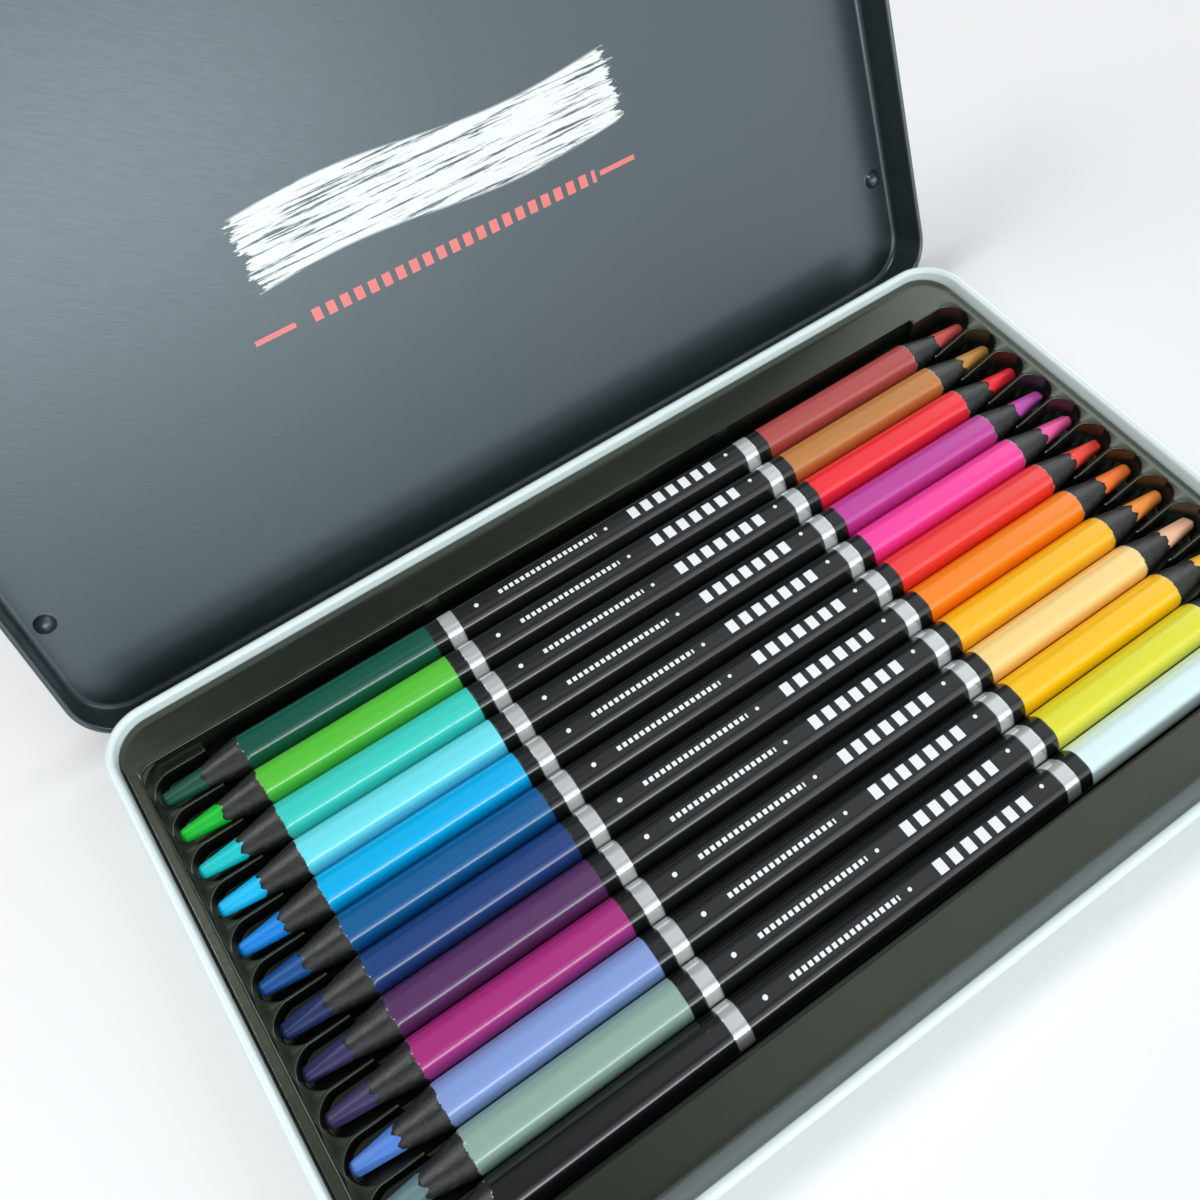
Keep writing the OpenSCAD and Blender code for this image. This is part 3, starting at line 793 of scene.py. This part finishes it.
def trayShape():
    # one grid of columns along X and rows along Y. Between neighbouring rows lie in turn a pocket's floor,
    # its wall, the rib's rounded edge and its top. A pocket's rows close in along two arcs to its nose.
    leadTip = boxOf("pencil_01_lead_warm")[1][0]
    floorZ = trayLow[2] + tray["sheet"]
    ledgeZ = trayHigh[2]
    ribZ = floorZ + tray["ribHeight"]
    tipX = leadTip + tray["tipGap"]
    ribX = tipX - tray["ribLength"]
    wallX = tipX + tray["recessStep"]
    halfX = trayHigh[0]
    middleY = (trayLow[1] + trayHigh[1]) / 2
    halfY = (trayHigh[1] - trayLow[1]) / 2
    offset = tray["noseR"] - tray["pocketHalf"] - tray["noseBulge"]
    noseX = tipX - math.sqrt(tray["noseR"] ** 2 - offset ** 2)
    edgeR = tray["edgeR"]
    # the grid ends where the ledge's rounded outer edge begins
    gridX = halfX - edgeR
    gridY = halfY - edgeR
    gridCorner = tray["cornerR"] - edgeR

    # columns: for each end the rib's end face, the nose by even angles, the end wall and the ledge
    noseAngle = np.linspace(0.0, math.acos(offset / tray["noseR"]), 16)
    nose = noseX + tray["noseR"] * np.sin(noseAngle)
    faceDepth = 0.12
    endX = np.concatenate([
        ribX + np.array([-4.0, -0.4, -0.1, 0.0, 0.04, 0.09, faceDepth]),
        np.linspace(ribX + 0.6, noseX - 0.2, 8),
        nose[:-1],
        [tipX - 0.001, tipX + 0.001],
        tipX + edgeR * np.array([0.08, 0.3, 0.62]),
        [wallX - 0.001, wallX + 0.001],
        wallX + edgeR * np.array([0.08, 0.3, 0.62, 1.0]),
    ])
    corner = gridX - gridCorner + gridCorner * np.sin(np.radians(np.linspace(0, 90, 19)))
    corner = corner[np.abs(corner[:, None] - endX[None, :]).min(axis=1) > 0.02]
    positive = np.unique(np.concatenate([endX, corner]))
    middle = np.linspace(-ribX + 6.0, ribX - 6.0, 13)
    columns = np.concatenate([-positive[::-1], middle, positive])
    outX = np.abs(columns)
    warm = columns > 0

    # half-width of a pocket at each column, or of the line that runs a little outside its outline
    past = np.clip(outX - noseX, 0, None)

    def halfAt(outside):
        reach = np.sqrt(np.maximum((tray["noseR"] + outside) ** 2 - past ** 2, 0)) - offset
        return np.clip(np.minimum(reach, tray["pocketHalf"] + outside), 0.01, None)

    def dropOf(away):
        # how far a rounded edge lies below its flat at a distance from the outline
        share = np.clip(away / edgeR, 0, 1)
        return edgeR * (1 - np.sqrt(1 - (1 - share) ** 2))

    # heights of the rib's top at each column, and 0 to 1 where the rib's end face stands up
    face = np.clip((outX - ribX) / faceDepth, 0, 1)
    standing = np.where(outX <= ribX, 0.0, 0.72 + 0.28 * np.sqrt(1 - (1 - face) ** 2))
    climb = np.clip((outX - ribX) / tray["riseLength"], 0, 1)
    soft = climb + 0.02 * np.sin(2 * np.pi * climb)
    top = np.where(warm, ribZ + (ledgeZ - ribZ) * soft, ribZ)
    outerTop = np.where(warm, ledgeZ, ribZ)

    gapY = tray["pitch"]
    firstY = tray["recessY"] + (pencilCount - 1) / 2 * gapY
    wallY = tray["recessHalfY"] + tray["recessStep"]

    filletR = tray["filletR"]
    edgeOut = min(edgeR, 0.85 * (gapY / 2 - tray["pocketHalf"]))
    fillet = np.radians([0, 25, 55, 90])
    rounding = np.radians([0, 30, 60, 90])

    # each row: its place along Y, its height over the floor (None where it follows the rib's top), whether it
    # lies on the ledge and whether its rib is one of the two outer ones
    def pocketSide(y0, sign, outer):
        # from the wall's foot out to the top of the rib
        foot = [(y0 + sign * halfAt(-filletR * (1 - np.sin(a))), filletR * (1 - np.cos(a)), False, outer)
                for a in fillet]
        return foot + [(y0 + sign * halfAt(edgeOut * (1 - np.cos(a))), None, False, outer) for a in rounding]

    def ledgeSide(wall, sign, edge):
        # from just inside the recess's wall, over the ledge's rounded edge, out to the tray's edge
        inside = [(wall - sign * 0.1, None, False, True), (wall, None, False, True)]
        edgeRows = [(wall + sign * edgeR * (1 - np.cos(a)), None, True, True) for a in rounding]
        start = wall + sign * edgeR
        shares = (0.08, 0.25, 0.5, 0.75, 1.0)
        return inside + edgeRows + [(start + share * (edge - start), None, True, True) for share in shares]

    # ledge and recess wall on the hinge side, the pockets, then the same at the front
    recessR = tray["recessCornerR"] + tray["recessStep"]
    limit = cornerLimit(columns, gridX, gridY, gridCorner)
    recessLimit = np.where(outX > wallX, wallY - recessR, cornerLimit(columns, wallX, wallY, recessR))
    rows = ledgeSide(tray["recessY"] + recessLimit, 1, middleY + limit)[::-1]
    for k in range(pencilCount):
        y0 = firstY - k * gapY
        rows += pocketSide(y0, 1, k == 0)[::-1]
        rows += [(y0 + share * halfAt(-filletR), 0.0, False, False) for share in (0.5, 0.0, -0.5)]
        rows += pocketSide(y0, -1, k == pencilCount - 1)
        if k < pencilCount - 1:
            rows.append((np.full(len(columns), y0 - gapY / 2), None, False, False))
    rows += ledgeSide(tray["recessY"] - recessLimit, -1, middleY - limit)

    y = np.stack([row[0] for row in rows], axis=1)
    x = np.broadcast_to(columns[:, None], y.shape)
    z = np.empty(y.shape)
    # distances from the recess's outline and from that of the nearest pocket
    pastX = np.abs(x) - (wallX - recessR)
    pastY = np.abs(y - tray["recessY"]) - (wallY - recessR)
    fromRecess = np.hypot(np.maximum(pastX, 0), np.maximum(pastY, 0)) - recessR
    fromRecess = fromRecess + np.minimum(np.maximum(pastX, pastY), 0)
    nearest = np.clip(np.round((firstY - y) / gapY), 0, pencilCount - 1)
    sideways = np.abs(y - (firstY - nearest * gapY))
    fromNose = np.hypot(past[:, None], sideways + offset) - tray["noseR"]
    fromPocket = np.maximum(np.maximum(sideways - tray["pocketHalf"], fromNose), (outX - tipX)[:, None])
    # at the warm end the ribs reach the ledge's height, so only the pockets have edges there
    pocketDrop = dropOf(fromPocket)
    ledgeHeight = ledgeZ - np.where(warm[:, None], pocketDrop, dropOf(fromRecess))
    for n, (lift, onLedge, outer) in enumerate(row[1:] for row in rows):
        ribTop = outerTop if outer else top
        height = floorZ + standing * np.maximum(ribTop - floorZ - pocketDrop[:, n], 0)
        if lift is not None:
            height = np.where(outX > tipX, height, floorZ + lift)
        z[:, n] = ledgeHeight[:, n] if onLedge else np.where(outX > wallX, ledgeHeight[:, n], height)

    # round edge, outer wall, the hollow under the ledge and the underside of the floor
    grid = np.stack([x, y, z], axis=-1).reshape(-1, 3)
    border = borderOf(*y.shape)
    edge = grid[border][:, :2] - [0, middleY]
    normals = borderNormals(edge, gridX, gridY, gridCorner)
    bottomZ = trayLow[2]
    skirtZ = pan["bottomR"] + tray["skirtLift"]
    under = ledgeZ - tray["sheet"]
    inside = edgeR - tray["sheet"]
    loops = [(edgeR * math.sin(a), ledgeZ - edgeR * (1 - math.cos(a))) for a in rounding[1:]]
    loops += [(edgeR, skirtZ), (inside, skirtZ), (inside, under)]
    rings = [np.concatenate([edge + out * normals + [0, middleY], np.full((len(edge), 1), height)], axis=1)
             for out, height in loops]
    shrink = np.array([(tipX + 0.6) / gridX, (tray["recessHalfY"] + 0.6) / gridY])
    inner = edge * shrink + [0, tray["recessY"]]
    for height in (under, bottomZ):
        rings.append(np.concatenate([inner, np.full((len(inner), 1), height)], axis=1))
    count = len(border)
    points = np.vstack([grid] + rings)
    quads = [gridQuads(*y.shape)]
    previous = border
    for n in range(len(rings)):
        ring = len(grid) + n * count + np.arange(count)
        quads.append(np.stack([previous, ring, np.roll(ring, -1), np.roll(previous, -1)], axis=-1))
        previous = ring
    quads.append(capQuads(previous)[:, ::-1])
    return points, np.vstack(quads)


points, quads = trayShape()
trayPiece = makePiece("tray", points, facedOut(points, quads), "tray", trayPlastic(),
                      ["pencil_tray"])
sharpenBy(trayPiece, 65)
print("tray made")


pencil = {"ringShare": 0.82, "coneDegrees": 11.65, "leadTaper": 5.5, "noseR": 1.5, "arcSteps": 8,
          "flatSteps": 8, "turns": 48, "boreGap": 0.15, "wobbleCounts": (2, 3, 5),
          "wobbleAmounts": (0.03, 0.025, 0.02), "facetDepth": (0.04, 0.3), "facetCosine": 0.2}
casingLow, casingHigh = boxOf("pencil_01_casing")
woodEnd = casingHigh[0]
flatR = (casingHigh[2] - casingLow[2]) / 2
reachR = (casingHigh[1] - casingLow[1]) / 2
leadLow, leadHigh = boxOf("pencil_01_lead_warm")
leadR = (leadHigh[2] - leadLow[2]) / 2
tipX = leadHigh[0]
slope = math.tan(math.radians(pencil["coneDegrees"]))
# a flat at flatR and a corner at reachR leave only one radius for the rounded edge
sixth = math.radians(60)
halfSixth = sixth / 2
edgeRadius = (reachR - flatR / math.cos(halfSixth)) / (1 - 1 / math.cos(halfSixth))
edgeCentre = reachR - edgeRadius
edgeTurn = math.atan2(edgeRadius / 2, edgeCentre + edgeRadius * math.cos(halfSixth))


def hexagonSpread():
    # angles round the barrel: fine along each rounded edge, coarser along each flat
    edgePart = np.linspace(-edgeTurn, edgeTurn, pencil["arcSteps"] + 1)
    across = np.linspace(-1, 1, pencil["flatSteps"] + 1)[1:-1]
    flatPart = halfSixth + (halfSixth - edgeTurn) * np.sign(across) * np.abs(across) ** 0.8
    one = np.concatenate([edgePart, flatPart])
    return np.concatenate([one + k * sixth for k in range(6)])


def hexagonRadius(angle):
    # distance from the axis: the round edge near a corner, the flat elsewhere
    local = np.abs((angle + halfSixth) % sixth - halfSixth)
    across = edgeCentre * np.sin(local)
    onEdge = edgeCentre * np.cos(local) + np.sqrt(np.maximum(edgeRadius ** 2 - across ** 2, 0))
    onFlat = flatR / np.cos(halfSixth - local)
    return np.where(local <= edgeTurn, onEdge, onFlat)


def waves(angle, seed, counts, amounts):
    # a smooth closed wobble round the pencil: a few sines with seeded phases
    chance = np.random.default_rng(seed)
    total = np.zeros_like(angle)
    for count, amount in zip(counts, amounts):
        total = total + amount * np.sin(count * angle + chance.uniform(0, 2 * math.pi))
    return total


def leadEdgeShift(angle, seed):
    # where the lead's colour starts along the cone, in mm from the end of the wood: rounded scallops
    chance = np.random.default_rng(seed)
    phase = chance.uniform(0, 2 * math.pi)
    count = chance.integers(4, 7)
    scallop = np.abs(np.sin(count * angle / 2 + phase)) * 0.9 - 0.55
    return scallop + waves(angle, seed + 1, (7, 13), (0.14, 0.1))


def casingShape(k):
    # radius = the smaller of the barrel's and the sharpened cone's, over stations along the pencil
    angle = hexagonSpread()
    barrelR = hexagonRadius(angle)
    cornerStart = woodEnd - (reachR + 0.03 - leadR) / slope
    flatStart = woodEnd - (flatR - 0.03 - leadR) / slope
    bandStops = [pencilFinish[key] for key in ("foilInner", "foilOuter", "sleeveHalf")]
    outer = np.unique(np.round(np.concatenate([
        [0.0, 12.0, 24.0, *bandStops, 48.0, 60.0],
        np.linspace(cornerStart - 0.6, flatStart + 0.5, 44),
        np.linspace(flatStart + 0.8, woodEnd - 1.6, 8),
        np.linspace(woodEnd - 1.3, woodEnd, 14)]), 5))
    stations = np.concatenate([-outer[:0:-1], outer])[:, None]
    out = np.abs(stations)
    toEnd = woodEnd - out
    uneven = (pencil["wobbleCounts"], pencil["wobbleAmounts"])
    wobble = np.where(stations > 0, waves(angle, 300 + k, *uneven), waves(angle, 400 + k, *uneven))
    coneR = leadR + toEnd * slope + wobble * np.clip(toEnd / 4, 0, 1)
    radius = np.minimum(barrelR, coneR)
    # the paint stops partly at the edge of the cone and partly on a ring round the barrel
    ring = (out - (cornerStart + flatStart) / 2) * slope
    bare = ring * pencil["ringShare"] + (barrelR - coneR) * (1 - pencil["ringShare"])
    shift = np.where(stations > 0, leadEdgeShift(angle, 100 + k), leadEdgeShift(angle, 200 + k))
    boreX = np.broadcast_to(np.array([[woodEnd], [40.0], [-40.0], [-woodEnd]]), (4, len(angle)))
    allX = np.vstack([np.broadcast_to(stations, radius.shape), boreX])
    allR = np.vstack([radius, np.full(boreX.shape, leadR - pencil["boreGap"])])
    place = np.stack([allX, allR * np.cos(angle), allR * np.sin(angle)], axis=-1).reshape(-1, 3)
    # the bore counts as bare wood
    bare = np.vstack([bare, np.full(boreX.shape, 1.0)]).ravel()
    leadSide = np.vstack([-toEnd - shift, np.full(boreX.shape, -1.0)]).ravel()
    quads = gridQuads(len(allX), len(angle), closedRows=True, closedColumns=True)
    return place, facedOut(place, quads), bare, leadSide


def leadShape(k, warm):
    # a rod, a narrowing bare end with a few worn facets, and a round nose
    angle = np.linspace(0, 2 * math.pi, pencil["turns"], endpoint=False)
    seed = (100 if warm else 200) + k
    chance = np.random.default_rng(seed + 900)
    noseR = pencil["noseR"]
    noseStart = tipX - noseR
    noseTurn = np.linspace(0, math.pi / 2, 12)[1:]
    stations = np.concatenate([
        [0.0, 40.0, woodEnd - 0.4],
        np.linspace(woodEnd, woodEnd + 1.3, 14),
        np.linspace(woodEnd + 1.6, noseStart, 10),
        noseStart + noseR * np.sin(noseTurn)])[:, None]
    cone = leadR - np.clip(stations - woodEnd, 0, None) * math.tan(math.radians(pencil["leadTaper"]))
    ball = np.sqrt(np.maximum(noseR ** 2 - np.clip(stations - noseStart, 0, None) ** 2, 0))
    radius = np.where(stations > noseStart, np.minimum(cone, ball), cone)
    # worn facets: the radius is cut back on three sides, more towards the tip
    facing = chance.uniform(0, 2 * math.pi, 3)
    depth = chance.uniform(*pencil["facetDepth"], 3)
    along = np.clip((stations - woodEnd) / (tipX - woodEnd), 0, 1)
    least = pencil["facetCosine"]
    full = np.repeat(radius, len(angle), axis=1)
    for turn, cut in zip(facing, depth):
        cosine = np.cos(angle - turn)
        worn = radius * (1 - cut * along) / np.maximum(cosine, least)
        full = np.where(cosine > least, np.minimum(full, worn), full)
    # a small flat in place of a point
    full[-1] = 0.02
    x = np.broadcast_to(stations, full.shape)
    sign = 1 if warm else -1
    place = np.stack([sign * x, full * np.cos(angle), full * np.sin(angle)], axis=-1).reshape(-1, 3)
    leadSide = (x - woodEnd - leadEdgeShift(angle, seed)).ravel()
    fromTip = (tipX - x).ravel()
    quads = gridQuads(len(stations), len(angle), closedColumns=True)
    first = np.arange(len(angle))
    last = first + (len(stations) - 1) * len(angle)
    quads = np.vstack([quads, capQuads(first)[:, ::-1], capQuads(last)])
    return place, facedOut(place, quads), leadSide, fromTip


for k in range(pencilCount):
    name = "pencil_%02d" % (k + 1)
    low, high = boxOf(name + "_casing")
    axis = np.array([0, (low[1] + high[1]) / 2, (low[2] + high[2]) / 2])
    place, quads, bare, leadSide = casingShape(k)
    makePiece(name + "_barrel", place + axis, quads, name, pencilLacquer(k),
              [name + "_casing"], {"pencilPlace": place, "bareWood": bare, "leadSide": leadSide})
    for warm in (True, False):
        place, quads, leadSide, fromTip = leadShape(k, warm)
        label = "warm" if warm else "cool"
        makePiece("%s_tip_%s" % (name, label), place + axis, quads, name,
                  waxyLead(k, warm), ["%s_lead_%s" % (name, label)],
                  {"pencilPlace": place, "leadSide": leadSide, "fromTip": fromTip})
print("pencils made")


room = {"floor": "#efefef", "floorHalf": 12.0, "worldColor": (0.95, 0.98, 1.0, 1.0), "worldStrength": 0.21,
        # brighter parts of the room: direction, cosine where each begins and is full, added strength
        "bright": (((0.86, 0.26, 0.42), 0.86, 0.98, 2.6), ((0.48, 0.10, 0.87), 0.84, 0.99, 0.55),
                   ((0.36, -0.91, 0.20), 0.55, 0.98, 1.5))}


def paleFloor():
    # a dull pale floor without gloss that takes the tin's shadow
    material, tree, shader = newMaterial("paleFloor")
    setInputs(tree, shader, {"Base Color": rgb(room["floor"]), "Roughness": 0.9, "Specular IOR Level": 0.0})
    return material


half = room["floorHalf"]
floorMesh = bpy.data.meshes.new("paleFloor")
floorCorners = [(-half, -half, 0), (half, -half, 0), (half, half, 0), (-half, half, 0)]
floorMesh.from_pydata(floorCorners, [], [(0, 1, 2, 3)])
floorMesh.materials.append(paleFloor())
floor = bpy.data.objects.new("floor", floorMesh)
bpy.context.scene.collection.objects.link(floor)


def addSoftbox(name, place, aim, width, height, power, color=(1.0, 1.0, 1.0)):
    light = bpy.data.lights.new(name, "AREA")
    light.shape = "RECTANGLE"
    light.size = width
    light.size_y = height
    light.energy = power
    light.color = color
    lamp = bpy.data.objects.new(name, light)
    lamp.location = place
    lamp.rotation_euler = (Vector(aim) - Vector(place)).to_track_quat("-Z", "Y").to_euler()
    bpy.context.scene.collection.objects.link(lamp)


lamps = {
    "key": dict(place=(-0.60, 0.46, 0.95), aim=(0, 0, 0.02), width=0.45, height=0.4, power=6.8),
    "fill": dict(place=(-0.79, -0.66, 0.62), aim=(0, 0, 0.02), width=0.5, height=0.4, power=1.2),
    "window": dict(place=(-0.16, -1.10, 0.50), aim=(0, 0, 0.04), width=1.0, height=0.28, power=4.5,
                   color=(0.93, 0.985, 1.0)),
}
for lampName, setting in lamps.items():
    addSoftbox(lampName, **setting)


def softWorld():
    # an even room, with a smooth brighter patch round each direction in the list
    world = bpy.data.worlds.new("softRoom")
    world.use_nodes = True
    tree = world.node_tree
    direction = addNode(tree, "ShaderNodeTexCoord").outputs["Generated"]
    strength = room["worldStrength"]
    for towards, begins, full, added in room["bright"]:
        cosine = addNode(tree, "ShaderNodeVectorMath", {0: direction, 1: Vector(towards).normalized()},
                         operation="DOT_PRODUCT").outputs["Value"]
        strength = linear(tree, between(tree, cosine, begins, full), added, strength)
    setInputs(tree, tree.nodes["Background"], {"Color": room["worldColor"], "Strength": strength})
    return world


bpy.context.scene.world = softWorld()

view = {"place": (-0.06075, -0.06218, 0.18351), "right": (0.8258, -0.5618, -0.0494),
        "back": (-0.2533, -0.4477, 0.8575), "lens": 34.81, "sensor": 36.0}


def addCamera():
    # the camera's own axes: right as fitted, back made square to it, up from both
    right = Vector(view["right"]).normalized()
    back = Vector(view["back"])
    back = (back - right * back.dot(right)).normalized()
    up = back.cross(right)
    data = bpy.data.cameras.new("photoView")
    data.sensor_width = view["sensor"]
    data.lens = view["lens"]
    data.clip_start = 0.01
    data.clip_end = 50.0
    camera = bpy.data.objects.new("photoView", data)
    bpy.context.scene.collection.objects.link(camera)
    turn = Matrix((right, up, back)).transposed()
    camera.matrix_world = Matrix.Translation(view["place"]) @ turn.to_4x4()
    bpy.context.scene.camera = camera


addCamera()
bpy.context.scene.view_settings.view_transform = "Standard"
print("light and camera ready")
